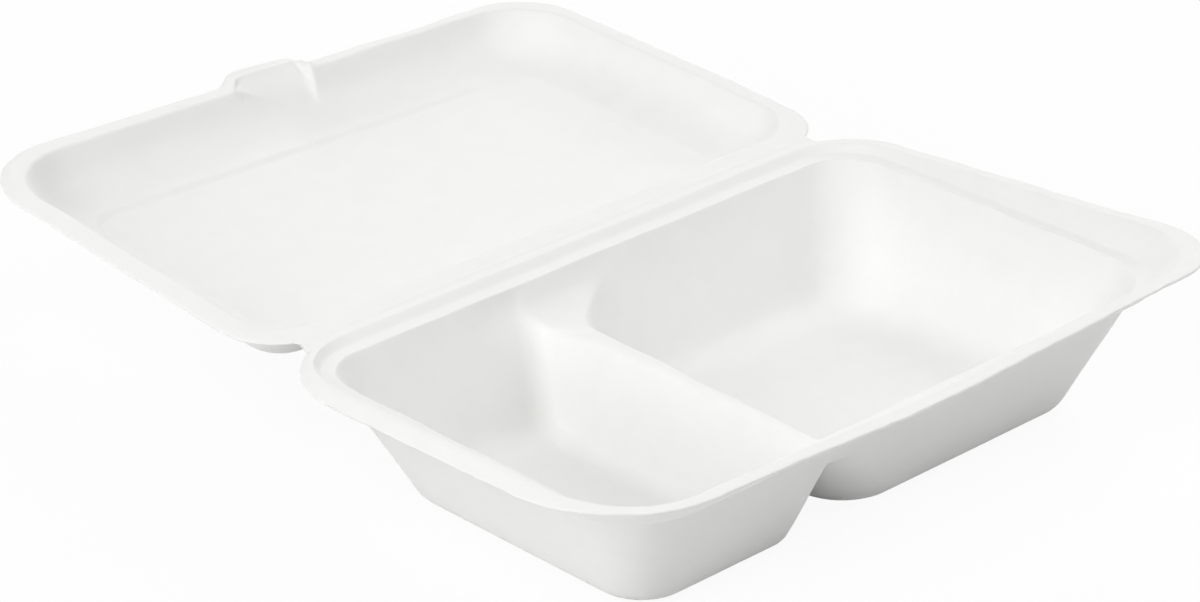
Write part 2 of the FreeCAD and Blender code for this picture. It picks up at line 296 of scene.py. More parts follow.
@dataclass(frozen=True)
class Outline:
    """Four straight sides joined by arcs, in millimetres.

    Corners are (x, y, radius) and run back-left, back-right, front-right, front-left.
    """

    corners: tuple[tuple[float, float, float], ...]

    @classmethod
    def box(cls, left: float, right: float, front: float, back: float,
            radii: Corners) -> "Outline":
        """Outline with its sides along X and Y."""
        spots = ((left, back), (right, back), (right, front), (left, front))
        return cls(tuple((x, y, r) for (x, y), r in zip(spots, radii)))

    @property
    def sides(self) -> tuple[float, float, float, float]:
        """Left, right, front and back of an outline that is square to X and Y."""
        return (self.corners[0][0], self.corners[1][0], self.corners[2][1],
                self.corners[1][1])

    def spot(self, index: int) -> np.ndarray:
        """Sharp corner that the two sides would meet in."""
        return np.array(self.corners[index % 4][:2])

    def half_side(self, index: int, step: int, reach: float, share: np.ndarray) -> np.ndarray:
        """Points from the middle of a corner's arc along one of its sides.

        Args:
            index: Which corner.
            step: 1 for the side to the next corner, -1 for the side to the one before.
            reach: Distance from the sharp corner at which the path ends.
            share: Places along the path, 0 at the arc's middle and 1 at its end.

        Returns:
            One row of X and Y for each share.
        """
        here = self.spot(index)
        along = self.spot(index + step) - here
        along /= np.linalg.norm(along)
        other = self.spot(index - step) - here
        other /= np.linalg.norm(other)
        inner = math.acos(float(along @ other))
        radius = self.corners[index % 4][2]
        tangent = radius / math.tan(inner / 2)
        turn = (math.pi - inner) / 2
        length = share * (radius * turn + reach - tangent)
        bisector = (along + other) / np.linalg.norm(along + other)
        sideways = along - bisector * float(along @ bisector)
        sideways /= np.linalg.norm(sideways)
        angle = np.clip(length / radius, 0.0, turn)
        centre = here + bisector * radius / math.sin(inner / 2)
        arc = centre + radius * (np.sin(angle)[:, None] * sideways
                                 - np.cos(angle)[:, None] * bisector)
        straight = here + along * (tangent + length - radius * turn)[:, None]
        return np.where((length < radius * turn)[:, None], arc, straight)


@dataclass(frozen=True)
class Loom:
    """Rows and columns that a shell's skin is laid on, in millimetres.

    The rows and columns run square in the middle and bend round the corners beside the
    edge, so each ring of the skin follows the moulding's own outline.
    """

    columns: np.ndarray
    rows: np.ndarray
    reach: float

    @property
    def edge(self) -> list[tuple[int, int]]:
        """Grid places round the edge.

        Returns:
            Column and row of each place, clockwise from the back-left corner.
        """
        wide, deep = len(self.columns) - 1, len(self.rows) - 1
        back = [(i, deep) for i in range(wide)]
        right = [(wide, j) for j in range(deep, 0, -1)]
        front = [(i, 0) for i in range(wide, 0, -1)]
        left = [(0, j) for j in range(deep)]
        return back + right + front + left

    def border(self, face: np.ndarray) -> np.ndarray:
        """Points of a face along the grid's edge."""
        return np.array([face[i, j] for i, j in self.edge])

    def ring(self, outline: Outline, base: Outline) -> np.ndarray:
        """Points of one ring, matched to the grid's edge.

        Args:
            outline: Outline that the ring follows.
            base: Outline of the grid's own edge.

        Returns:
            One row of X and Y for each place of the edge.
        """
        runs = (self.columns - self.columns[0], (self.rows[-1] - self.rows)[::-1],
                (self.columns[-1] - self.columns)[::-1], self.rows - self.rows[0])
        parts = []
        for index, run in enumerate(runs):
            total = float(run[-1])
            run = run[:-1]
            ends = []
            for corner, step in ((index, 1), (index + 1, -1)):
                along = outline.spot(corner + step) - outline.spot(corner)
                along /= np.linalg.norm(along)
                shift = float((outline.spot(corner) - base.spot(corner)) @ along)
                ends.append(self.reach - shift)
            first = outline.half_side(index, 1, ends[0], np.clip(run / self.reach, 0, 1))
            last = outline.half_side(index + 1, -1, ends[1],
                                     np.clip((total - run) / self.reach, 0, 1))
            middle = ramp(run, self.reach, total - 2 * self.reach)[:, None]
            start = outline.half_side(index, 1, ends[0], np.ones(1))
            stop = outline.half_side(index + 1, -1, ends[1], np.ones(1))
            span = start + (stop - start) * middle
            parts.append(np.where((run < self.reach)[:, None], first,
                                  np.where((run > total - self.reach)[:, None], last, span)))
        return np.concatenate(parts)

    def grid(self, base: Outline, shrink: Corners) -> tuple[np.ndarray, np.ndarray]:
        """X and Y of every grid place, bent round the corners of the edge.

        Args:
            base: Outline of the grid's edge, square to X and Y.
            shrink: How fast each corner's radius shrinks inward from the edge.

        Returns:
            Two arrays indexed by column and row.
        """
        x, y = np.meshgrid(self.columns, self.rows, indexing="ij")
        out_x, out_y = x.copy(), y.copy()
        for (cx, cy, radius), rate in zip(base.corners, shrink):
            way_x = 1.0 if cx < 0 else -1.0
            way_y = 1.0 if cy < (self.rows[0] + self.rows[-1]) / 2 else -1.0
            u, v = (x - cx) * way_x, (y - cy) * way_y
            near = (u < self.reach) & (v < self.reach)
            level = np.minimum(u, v)
            span = np.maximum(self.reach - level, 1e-6)
            bend = np.minimum(np.maximum(radius - rate * level, 0.01), 0.75 * span)
            arc = bend * math.pi / 4
            length = (np.maximum(u, v) - level) / span * (arc + span - bend)
            turn = math.pi / 4 - np.clip(length / bend, 0.0, math.pi / 4)
            far = np.where(length < arc, bend - bend * np.sin(turn), bend + length - arc)
            close = np.where(length < arc, bend - bend * np.cos(turn), 0.0)
            out_x = np.where(near, cx + way_x * (level + np.where(u >= v, far, close)), out_x)
            out_y = np.where(near, cy + way_y * (level + np.where(u >= v, close, far)), out_y)
        return out_x, out_y


def spacing(start: float, stop: float, ends: tuple[float, float], gaps: Gaps) -> np.ndarray:
    """Places between two ends whose gaps follow the wanted ones.

    Args:
        start: First place.
        stop: Last place.
        ends: Wanted gaps at the first and the last place.
        gaps: Wanted gaps between them, in rising order of place.

    Returns:
        The places, ends included.
    """
    marks = np.array([(start, ends[0]), *gaps, (stop, ends[1])])
    fine = np.linspace(start, stop, 4000)
    wanted = np.interp(fine, marks[:, 0], marks[:, 1])
    count = np.concatenate([[0.0], np.cumsum(np.diff(fine) * 2 / (wanted[1:] + wanted[:-1]))])
    total = int(round(count[-1]))
    return np.interp(np.linspace(0, count[-1], total + 1), count, fine)


def soften(stops: list[np.ndarray], trims: tuple[float, ...], cuts: tuple[int, ...],
           bends: int) -> list[np.ndarray]:
    """Rings along a cross-section whose inner corners are rounded.

    Args:
        stops: Rings at the section's corners, each of X, Y and Z.
        trims: How far each inner corner is cut back along its two sides.
        cuts: Number of steps on each straight side.
        bends: Number of steps round each corner.

    Returns:
        The rings, first and last stops included.
    """
    rings = []
    leave = stops[0]
    for at in range(1, len(stops)):
        before, here = stops[at - 1], stops[at]
        last = at == len(stops) - 1
        back = before - here
        gap = np.linalg.norm(back, axis=1, keepdims=True)
        trim = 0.0 if last else trims[at - 1]
        arrive = here + back / np.maximum(gap, 1e-9) * np.minimum(trim, gap * 0.49)
        for step in range(cuts[at - 1]):
            rings.append(leave + (arrive - leave) * step / cuts[at - 1])
        if last:
            rings.append(here)
            break
        ahead = stops[at + 1] - here
        room = np.linalg.norm(ahead, axis=1, keepdims=True)
        leave = here + ahead / np.maximum(room, 1e-9) * np.minimum(trim, room * 0.49)
        for step in range(bends):
            t = step / bends
            rings.append((1 - t) ** 2 * arrive + 2 * t * (1 - t) * here + t * t * leave)
    return rings


def lift(points: np.ndarray, heights: np.ndarray | float) -> np.ndarray:
    """Ring of X and Y with heights added as Z."""
    column = np.broadcast_to(heights, len(points))[:, None]
    return np.concatenate([points, column], axis=1)


def ripple(x: np.ndarray, y: np.ndarray, seed: int, size: float,
           lengths: tuple[float, float], waves: int = 14) -> np.ndarray:
    """Gentle unevenness of dried pulp, as a few crossing waves.

    Args:
        x: X of the points, in millimetres.
        y: Y of the points, in millimetres.
        seed: Picks the waves.
        size: Typical height of the unevenness, in millimetres.
        lengths: Shortest and longest wave, in millimetres.
        waves: Number of waves.

    Returns:
        The offsets in millimetres.
    """
    rng = np.random.default_rng(seed)
    total = np.zeros_like(x, dtype=float)
    for _ in range(waves):
        angle, phase = rng.uniform(0, 2 * math.pi, 2)
        pitch = math.exp(rng.uniform(math.log(lengths[0]), math.log(lengths[1])))
        total += np.sin((x * math.cos(angle) + y * math.sin(angle)) * 2 * math.pi / pitch + phase)
    return total * size / math.sqrt(waves / 2)


def fray(ring: np.ndarray, seed: int) -> np.ndarray:
    """Sideways offsets of a ring whose pulp edge isn't cut quite clean."""
    return ripple(ring[:, 0], ring[:, 1], seed, 0.09, (5.0, 13.0))[:, None]


def outward(inner: np.ndarray, outer: np.ndarray) -> np.ndarray:
    """Level directions of length one from each point of a ring to the ring outside it."""
    return (outer - inner) / np.linalg.norm(outer - inner, axis=1, keepdims=True)


# ------------------------------------------------------------------------------ shells


@dataclass
class Skin:
    """Closed skin of a moulded shell, gathered as vertices and faces in millimetres."""

    loom: Loom
    upper: np.ndarray
    under: np.ndarray
    rings: list[np.ndarray]

    def mesh(self, name: str) -> bpy.types.Object:
        """Make the skin's object.

        Args:
            name: Name of the object.

        Returns:
            The object, placed in its mesh, with smooth faces that point outward.
        """
        wide, deep = len(self.loom.columns), len(self.loom.rows)
        count = wide * deep
        edge = self.loom.edge
        index = np.arange(count).reshape(wide, deep)
        inner = self.rings[1:-1]
        around = len(edge)
        first = np.array([index[i, j] for i, j in edge])
        chain = [first]
        chain += [count + k * around + np.arange(around) for k in range(len(inner))]
        lower = count + len(inner) * around
        chain.append(lower + first)
        a, b = index[:-1, :-1].ravel(), index[1:, :-1].ravel()
        c, d = index[1:, 1:].ravel(), index[:-1, 1:].ravel()
        faces = [np.stack([a, b, c, d], 1), lower + np.stack([d, c, b, a], 1)]
        for near, far in zip(chain[:-1], chain[1:]):
            faces.append(np.stack([near, np.roll(near, -1), np.roll(far, -1), far], 1))
        points = np.concatenate([self.upper.reshape(-1, 3), *inner, self.under.reshape(-1, 3)])
        mesh = bpy.data.meshes.new(name)
        mesh.from_pydata((points * MM).tolist(), [], np.concatenate(faces).tolist())
        mesh.validate()
        mesh.shade_smooth()
        shell = bpy.data.objects.new(name, mesh)
        bpy.context.collection.objects.link(shell)
        LOG.info("%s: grid %d by %d with %d rings", name, wide, deep, len(self.rings))
        return shell


class Moulding:
    """What the moulded halves of the container share."""

    def dress(self, piece: bpy.types.Object, material: bpy.types.Material) -> None:
        """Give a half its finish."""
        piece.data.materials.append(material)


@dataclass(frozen=True)
class Sag:
    """Gentle dip of an edge: its depth, the X of its middle and its half width."""

    depth: float
    middle: float
    half: float

    def at(self, x: np.ndarray) -> np.ndarray:
        """How far the edge dips at each X."""
        return self.depth * np.exp(-((x - self.middle) / self.half) ** 2)


# the mouth of the base, from which both compartments take the sides that they share
MOUTH = Hollow(42.8, Wall(-112.5, 0.483), Wall(112.5, 0.483), Wall(-146.5, 0.415),
               Wall(-11.8, 0.415), (16.0, 16.0, 21.0, 21.0), (0.06, 0.06, 0.16, 0.16), 0.91)


@dataclass
class BaseTray(Moulding):
    """Deep half: two compartments, a ledge and a raised rim, in millimetres.

    Y is counted from the crease, negative towards the front. Slant is the wall measured
    level where it leans, and a run is the start and the length of a change along X or Y.
    """

    wall: float = 1.2
    slant: float = 1.34
    mouth: Hollow = MOUTH
    ledge: float = MOUTH.top
    ledge_side: float = 4.3
    ledge_back: float = 4.8
    floor_round: float = 5.8
    foot_round: float = 5.2
    # divider: its crisp edge is on the large side and its soft one on the small side
    ridge: float = 38.2
    ridge_middle: float = -20.0
    ridge_half: float = 24.0
    ridge_fade: float = 8.0
    ridge_soft: float = 2.6
    ridge_crisp: float = 0.8
    ridge_root: float = 6.0
    ridge_dip: float = 6.3
    ridge_run: tuple[float, float] = (-52.0, 34.0)
    ridge_wall: float = 1.5
    tuck: float = 2.2
    tuck_run: tuple[float, float] = (-60.0, 40.0)
    swing: float = 0.03
    swing_pivot: float = -88.0
    swing_left: tuple[float, float] = (-60.0, 25.0)
    swing_right: tuple[float, float] = (0.0, 20.0)
    small: Hollow = MOUTH.below(ridge, right=Wall(-32.6, 0.12), radii=(15.7, 6.5, 6.5, 20.3),
                                tighten=(0.06, -0.02, -0.02, 0.16), face=0.97)
    small_outside: Hollow = MOUTH.below(
        ridge, right=Wall(-28.3, 0.185), radii=(15.7, 5.0, 2.0, 20.3),
        tighten=(0.06, -0.10, -0.06, 0.16), face=0.97)
    large: Hollow = MOUTH.below(ridge, left=Wall(-30.2, 0.56), radii=(37.0, 15.7, 20.3, 6.0),
                                tighten=(0.40, 0.06, 0.16, -0.30), face=0.89)
    # groove under the divider and the apron that closes it at the front
    groove: tuple[float, float] = (-40.0, -12.0)
    groove_round: float = 0.9
    apron: float = 30.2
    apron_slope: float = 0.14
    apron_start: float = -28.0
    apron_wall: float = 0.6
    # raised rim, with its edge folded down at the sides
    rim_half: float = 122.9
    rim_front: float = 163.0
    rim_back: float = 0.25
    rim_spread: float = 6.8
    rim_sag: Sag = Sag(3.2, -4.0, 62.0)
    sag_run: tuple[float, float] = (120.0, 40.0)
    rim_radii: Corners = (31.0, 27.0, 27.0, 34.0)
    strip: float = 4.8
    strip_back: float = 4.0
    strip_radii: Corners = (25.0, 23.5, 28.0, 28.0)
    edge_bend: float = 0.9
    edge_fold: float = 1.9
    edge_drop: float = 3.0
    edge_ease: float = 0.6
    edge_run: tuple[float, float] = (-150.0, 35.0)
    lip: float = 0.5
    lip_width: float = 1.7
    bead: float = 0.3
    bead_back: float = 0.4
    gutter: float = 1.1
    # grid of the faces inside the mouth: it ends a little below the ledge
    join: float = 1.6
    reach: float = 30.0
    shrink: Corners = (0.13, 0.13, 0.35, 0.35)
    taper_run: float = 25.0

    COLUMN_GAPS: ClassVar[Gaps] = ((-92, 1.2), (-84, 2.4), (-50, 2.2), (-42, 0.9), (-37, 0.4),
                                   (-27, 0.4), (-24, 0.9), (-2, 1.1), (8, 2.6), (84, 2.6),
                                   (92, 1.2))
    ROW_GAPS: ClassVar[Gaps] = ((-128, 1.1), (-118, 2.6), (-42, 2.6), (-32, 1.1))
    # cut-backs of the section's corners and steps on its sides, over and under the wall
    TOP: ClassVar[tuple] = ((0.6, 0.45, 0.8, 0.8, 0.7, 1.0), (1, 1, 2, 3, 2, 1, 2))
    UNDER: ClassVar[tuple] = ((1.0, 1.0, 1.4, 1.0), (2, 2, 2, 1, 1))
    ROLL: ClassVar[Roll] = ((0.3, 0.2), (0.25, 0.45), (-0.35, 1.1))

    def rim_height(self, x: np.ndarray, y: np.ndarray) -> np.ndarray:
        """Height of the sloping rim, which sags a little in the middle of the front.

        Args:
            x: X of the points.
            y: Y of the points.

        Returns:
            The heights.
        """
        forward = ramp(-y, *self.sag_run)
        return RIM_LEVEL + RIM_SLOPE * -y - self.rim_sag.at(x) * forward ** 2

    def rim(self, shrink: float, back: float, radii: Corners) -> Outline:
        """Outline of the rim, which is wider at the front.

        Args:
            shrink: How far its sides and front are moved inward.
            back: How far its back side lies in front of the crease.
            radii: Radii of its corners.

        Returns:
            The outline.
        """
        half, front = self.rim_half - shrink, self.rim_front - shrink
        spread = self.rim_spread / self.rim_front
        spots = [(-half - spread * back, -back), (half + spread * back, -back),
                 (half + spread * front, -front), (-half - spread * front, -front)]
        return Outline(tuple((x, y, r) for (x, y), r in zip(spots, radii)))

    def ledge_edge(self, side: float, back: float) -> Outline:
        """Outline of the ledge's outer edge.

        Args:
            side: Width of the ledge beside and in front of the mouth.
            back: Its width behind the mouth.

        Returns:
            The outline.
        """
        left, right, front, _ = self.mouth.sides(0.0, side)
        radii = tuple(radius + side for radius in self.mouth.radii)
        return Outline.box(left, right, front, self.mouth.back.place + back, radii)

    def lean(self, x: np.ndarray, y: np.ndarray) -> np.ndarray:
        """How far the divider's large side swings out towards the hinge."""
        inside = ramp(x, *self.swing_left) * ramp(-x, *self.swing_right)
        return self.swing * (y - self.swing_pivot) * inside

    def ridge_height(self, y: np.ndarray) -> np.ndarray:
        """Level of the divider's top, which dips towards the hinge wall."""
        return self.ridge - self.ridge_dip * ease(ramp(y, *self.ridge_run))

    def upper_height(self, x: np.ndarray, y: np.ndarray) -> np.ndarray:
        """Height of the upper face inside the mouth.

        Args:
            x: X of the points.
            y: Y of the points.

        Returns:
            The heights.
        """
        swing, ridge = self.lean(x, y), self.ridge_height(y)
        divider = 1 - ramp(np.abs(x - self.ridge_middle), self.ridge_half,
                           self.ridge_fade)
        root, soft, crisp = (radius * divider + 0.02 for radius in
                             (self.ridge_root, self.ridge_soft, self.ridge_crisp))
        tuck = self.tuck * ramp(y, *self.tuck_run)

        def air(z: np.ndarray) -> np.ndarray:
            """Distance above the moulding.

            Args:
                z: Height at each point.

            Returns:
                The distances, which rise with height.
            """
            small = -self.small.away(x - tuck, y, z)
            large = -self.large.away(x - swing, y, z)
            shelf = round_meet(-self.mouth.away(x, y, z), z - ridge, root)
            inside = round_edge(round_edge(small, shelf, soft), large, crisp)
            return round_meet(inside, z - self.wall, self.floor_round)

        return solve_height(air, 0.0, 44.0, x.shape)

    def under_height(self, x: np.ndarray, y: np.ndarray) -> np.ndarray:
        """Height of the underside inside the ledge's foot.

        Args:
            x: X of the points.
            y: Y of the points.

        Returns:
            The heights.
        """
        swing, ridge = self.lean(x, y), self.ridge_height(y)
        at_groove = (x > self.groove[0]) & (x < self.groove[1])
        apron_foot = self.apron - self.apron_slope * (x - self.apron_start)

        def solid(z: np.ndarray) -> np.ndarray:
            """Distance inside the filled bulges.

            Args:
                z: Height at each point.

            Returns:
                The distances, which rise with height.
            """
            small = round_edge(self.small_outside.away(x, y, z, self.slant), -z,
                               self.foot_round)
            large = round_edge(self.large.away(x - swing, y, z, self.slant), -z,
                               self.foot_round)
            whole = self.mouth.away(x, y, z, self.slant)
            roof = round_edge(whole, ridge - self.ridge_wall - z, 1.0)
            inner = self.mouth.front.at(self.mouth.top - z, 1.0) + self.apron_wall
            apron = np.maximum(np.maximum(whole, apron_foot - z), y - inner)
            bulges = np.minimum(small, large)
            groove = np.where(at_groove, round_meet(bulges, roof, self.groove_round), bulges)
            level = self.ledge - self.wall - z
            return -np.minimum(np.minimum(groove, roof), np.minimum(apron, level))

        return solve_height(solid, -1.0, 42.5, x.shape)

    def build(self) -> bpy.types.Object:
        """Build the tray's skin.

        Returns:
            The tray's object.
        """
        join = self.ledge - self.join
        edge = self.mouth.outline(join)
        left, right, front, back = edge.sides
        loom = Loom(spacing(left, right, (0.8, 0.8), self.COLUMN_GAPS),
                    spacing(front, back, (0.8, 0.8), self.ROW_GAPS), self.reach)
        x, y = loom.grid(edge, self.shrink)
        upper = np.stack([x, y, self.upper_height(x, y)], -1)
        x, y = self.widen(loom, edge, self.mouth.outline(join - self.wall, self.slant))
        under = np.stack([x, y, self.under_height(x, y)], -1)
        rings = self.rings(loom, edge, upper, under)
        skin = Skin(loom, self.uneven(upper), self.uneven(under),
                    [self.uneven(ring) for ring in rings])
        return skin.mesh("base_shell")

    def widen(self, loom: Loom, edge: Outline, wider: Outline) -> tuple[np.ndarray, np.ndarray]:
        """Grid of the underside: the same rows and columns let out to a wider edge.

        Args:
            loom: Rows and columns of the upper face.
            edge: Outline of its edge.
            wider: Outline of the underside's edge.

        Returns:
            X and Y, indexed by column and row.
        """
        left, right, front, back = edge.sides
        grow_x, grow_y = wider.sides[1] - right, wider.sides[3] - back
        columns = loom.columns + grow_x * self.taper(loom.columns, left, right)
        rows = loom.rows + grow_y * self.taper(loom.rows, front, back)
        return Loom(columns, rows, loom.reach + grow_x).grid(wider, self.shrink)

    def taper(self, places: np.ndarray, low: float, high: float) -> np.ndarray:
        """From -1 at the low end to 1 at the high end, and 0 away from both."""
        near_low = np.clip(1 - (places - low) / self.taper_run, 0, 1)
        return np.clip(1 - (high - places) / self.taper_run, 0, 1) - near_low

    def rings(self, loom: Loom, edge: Outline, upper: np.ndarray,
              under: np.ndarray) -> list[np.ndarray]:
        """Rings from the mouth over the ledge, seat and rim, and back underneath.

        Args:
            loom: Rows and columns of both faces.
            edge: Outline of the upper face's edge.
            upper: Points of the upper face.
            under: Points of the underside.

        Returns:
            The rings, from the upper face's edge to the underside's.
        """
        wall, ledge = self.wall, self.ledge
        border, lower = loom.border(upper), loom.border(under)
        crest = loom.ring(self.mouth.outline(ledge), edge)
        seat = loom.ring(self.ledge_edge(self.ledge_side, self.ledge_back), edge)
        strip = loom.ring(self.rim(self.strip, self.strip_back, self.strip_radii), edge)
        rim = loom.ring(self.rim(0.0, self.rim_back, self.rim_radii), edge)
        strip_z = self.rim_height(strip[:, 0], strip[:, 1])
        normal = outward(strip, rim)
        rim = rim + fray(rim, 14) * normal
        crest = crest + CREST_FRAY * fray(crest, 15) * normal
        right = np.clip(normal[:, 0], 0.0, 1.0) ** 2
        fold = np.abs(normal[:, 0]) ** 2 * ramp(rim[:, 1], *self.edge_run)
        fold = fold * (1.0 - self.edge_ease * right)
        bend = rim - (self.edge_bend + self.edge_fold * fold[:, None]) * normal
        bend_z = self.rim_height(bend[:, 0], bend[:, 1]) + self.lip * right
        heel = bend - self.lip_width * normal
        heel_z = self.rim_height(heel[:, 0], heel[:, 1])
        rim_z = self.rim_height(rim[:, 0], rim[:, 1]) - self.edge_drop * fold
        bead = self.bead * np.clip(normal[:, 0] + self.bead_back * normal[:, 1], 0.0, 1.0)
        top = soften([border, lift(crest, ledge + bead),
                      lift(crest + self.gutter * normal, ledge - bead), lift(seat, ledge),
                      lift(strip, strip_z), lift(heel, heel_z), lift(bend, bend_z),
                      lift(rim, rim_z)],
                     *self.TOP, 4)
        roll = [lift(rim + out * normal, rim_z - down * wall)
                for out, down in self.ROLL]
        return top + roll + self.under_rings(loom, edge, lower, (rim, rim_z), (bend, bend_z),
                                             strip_z, (self.edge_bend + 0.2 * fold[:, None]) * normal)

    def under_rings(self, loom: Loom, edge: Outline, lower: np.ndarray,
                    rim: tuple[np.ndarray, np.ndarray], bend: tuple[np.ndarray, np.ndarray],
                    strip_z: np.ndarray, inside: np.ndarray) -> list[np.ndarray]:
        """Rings under the rim and the ledge.

        Args:
            loom: Rows and columns of both faces.
            edge: Outline of the upper face's edge.
            lower: Edge of the underside.
            rim: Points and heights of the rim's edge.
            bend: Points and heights of the bend beside it.
            strip_z: Heights of the rim's inner side.
            inside: Steps inward from the rim's edge.

        Returns:
            The rings, from the rim to the underside's edge.
        """
        wall, under = self.wall, 0.6 * self.wall
        low = self.ledge - wall
        crest = loom.ring(self.mouth.outline(low, self.slant), edge)
        seat = loom.ring(self.ledge_edge(self.ledge_side + under, self.ledge_back + under), edge)
        radii = tuple(round(radius + under, 1) for radius in self.strip_radii)
        strip = loom.ring(self.rim(self.strip - under, self.strip_back - under, radii), edge)
        return soften([lift(rim[0] - inside, rim[1] - 1.3 * wall),
                       lift(bend[0] - 1.6 * inside, bend[1] - 1.1 * wall),
                       lift(strip, strip_z - wall), lift(seat, low), lift(crest, low), lower],
                      *self.UNDER, 3)

    def uneven(self, points: np.ndarray) -> np.ndarray:
        """Points with the unevenness of dried pulp, moved to the crease's place.

        Args:
            points: Points of a face or a ring.

        Returns:
            The moved points. The foot and the crease stay level and straight.
        """
        moved = points.copy()
        x, y, z = points[..., 0], points[..., 1], points[..., 2]
        free = ramp(z, 0.0, 10.0) * ramp(-y, 0.0, 12.0)
        moved[..., 2] += free * ripple(x, y, 11, 0.10, (22.0, 70.0))
        moved[..., 0] += free * ripple(y, z, 12, 0.10, (25.0, 80.0))
        moved[..., 1] += free * ripple(x, z, 13, 0.10, (25.0, 80.0)) + CREASE_Y
        return moved


@dataclass
class Lid(Moulding):
    """Shallow half with a flange, a panel and a lock tab, in millimetres.

    It is drawn flat from the crease, with Y away from it and the flange at height 0,
    and then laid back about the crease. Slant is the wall measured level where it leans.
    """

    wall: float = 0.75
    slant: float = 0.84
    depth: float = 16.0
    far: float = 151.6
    far_side: float = 140.0
    hollow: Hollow = Hollow(
        0.0, Wall(-111.8, 0.5), Wall(112.8, 0.5), Wall(8.6, 0.5), Wall(145.8, 0.5),
        (26.0, 22.0, 19.0, 14.0), (0.3, 0.25, 0.3, 0.2), 0.9)
    floor_round: float = 9.0
    foot_round: float = 6.0
    panel_border: float = 13.5
    panel_left: float = -1.4
    panel_radius: float = 11.0
    panel_step: float = 1.2
    panel_slope: tuple[float, float] = (2.0, 5.0)
    slope_run: tuple[float, float] = (60.0, 25.0)
    # lock tab: a raised lip that falls away inward to a scoop, with a firmer right end
    tab_centre: float = 1.8
    tab_half: float = 16.5
    tab_reach: float = 3.2
    tab_drop: float = 8.0
    tab_lean: float = 3.0
    tab_lip: float = 153.9
    tab_foot: float = 143.0
    tab_round: float = 2.5
    tab_shoulders: tuple[float, float] = (3.2, 1.3)
    tab_scoop: float = 6.3
    tab_slant: float = 0.07
    tab_sink: float = 0.4
    tab_raise: float = 0.35
    tab_rise: float = 0.9
    # flange, with its edge folded down
    flange: tuple[tuple[float, float, float], ...] = (
        (-117.2, 154.6, 30.0), (119.2, 152.6, 22.0), (119.2, 0.1, 20.0), (-118.6, 0.1, 20.0))
    flange_sag: Sag = Sag(1.3, 58.0, 28.0)
    hinge_run: float = 24.0
    edge_level: float = -0.15
    edge_drop: float = 1.7
    edge_width: float = 2.3
    # sprung set of the dried pulp: a twist, a skew and a wider right side
    twist: float = 1.82e-4
    skew: float = 0.006
    spread: float = 0.0194
    spread_run: tuple[float, float] = (4.0, 28.0)
    free_run: tuple[float, float] = (0.0, 12.0)
    # grid of the faces inside the mouth: it ends a little below the flange
    join: float = -1.6
    reach: float = 35.5
    shrink: Corners = (0.4, 0.4, 0.4, 0.4)

    COLUMN_GAPS: ClassVar[Gaps] = ((-98, 1.2), (-92, 0.8), (-84, 1.4), (-60, 2.6), (-27, 2.4),
                                   (-22, 0.6), (-17, 0.7), (-13, 2.2), (13, 2.2), (17, 0.7),
                                   (22, 0.6), (27, 2.4), (60, 2.6), (84, 1.4), (92, 0.8),
                                   (98, 1.2))
    ROW_GAPS: ClassVar[Gaps] = ((24, 1.2), (29, 0.8), (36, 1.4), (50, 2.6), (105, 2.6),
                                (118, 1.4), (124, 0.8), (130, 1.1))
    # cut-backs of the section's corners and steps on its sides, over and under the wall
    TOP: ClassVar[tuple] = ((1.2, 1.7), (1, 2, 2))
    UNDER: ClassVar[tuple] = ((1.0, 0.8), (2, 2, 1))
    ROLL: ClassVar[Roll] = ((0.12, 0.25), (0.14, 0.6), (0.0, 0.95))

    def tab(self, x: np.ndarray) -> np.ndarray:
        """How far the lid's edge belongs to the lock tab.

        Args:
            x: X of the points.

        Returns:
            1 across the tab and 0 beside it.
        """
        away = x - self.tab_centre
        left, right = self.tab_shoulders
        return 0.5 * (np.tanh((away + self.tab_half - left) / left)
                      - np.tanh((away - self.tab_half) / right))

    def floor(self, x: np.ndarray, y: np.ndarray) -> np.ndarray:
        """Height of the lid's flat inside, with the step round its panel.

        Args:
            x: X of the points.
            y: Y of the points.

        Returns:
            The heights.
        """
        inset = self.hollow.right.draft * self.depth + self.panel_border
        low, high = self.hollow.front.place + inset, self.hollow.back.place - inset
        right = self.hollow.right.place - inset
        left = -right + self.panel_left
        over_x = np.abs(x - (left + right) / 2) - (right - left) / 2 + self.panel_radius
        over_y = np.abs(y - (low + high) / 2) - (high - low) / 2 + self.panel_radius
        slope = self.panel_slope[0] + self.panel_slope[1] * ramp(x, *self.slope_run)
        share = np.clip(0.5 - past_arcs(over_x, over_y, self.panel_radius) / slope, 0.0, 1.0)
        return -self.depth + self.wall - self.panel_step * ease(share)

    def tab_outside(self, x: np.ndarray, y: np.ndarray, z: np.ndarray) -> np.ndarray:
        """Level distance outside the lock tab, seen from below.

        Args:
            x: X of the points.
            y: Y of the points.
            z: Height of the points.

        Returns:
            The distances.
        """
        out = self.far + self.tab_reach + self.tab_lean / self.tab_drop * z
        over_x = np.abs(x - self.tab_centre) - self.tab_half + self.tab_round
        return past_arcs(over_x, y - out + self.tab_round, self.tab_round)

    def upper_height(self, x: np.ndarray, y: np.ndarray) -> np.ndarray:
        """Height of the inside of the lid below its flange.

        Args:
            x: X of the points.
            y: Y of the points.

        Returns:
            The heights.
        """
        floor = self.floor(x, y)
        share = np.clip((self.tab_lip - y) / (self.tab_lip - self.tab_foot), 0.0, 1.25)
        away = x - self.tab_centre
        grow = ramp(away, -self.tab_half - 0.5, 10.0)
        scoop = -self.tab_sink - (self.tab_scoop + self.tab_slant * away) * share ** 1.3 * grow

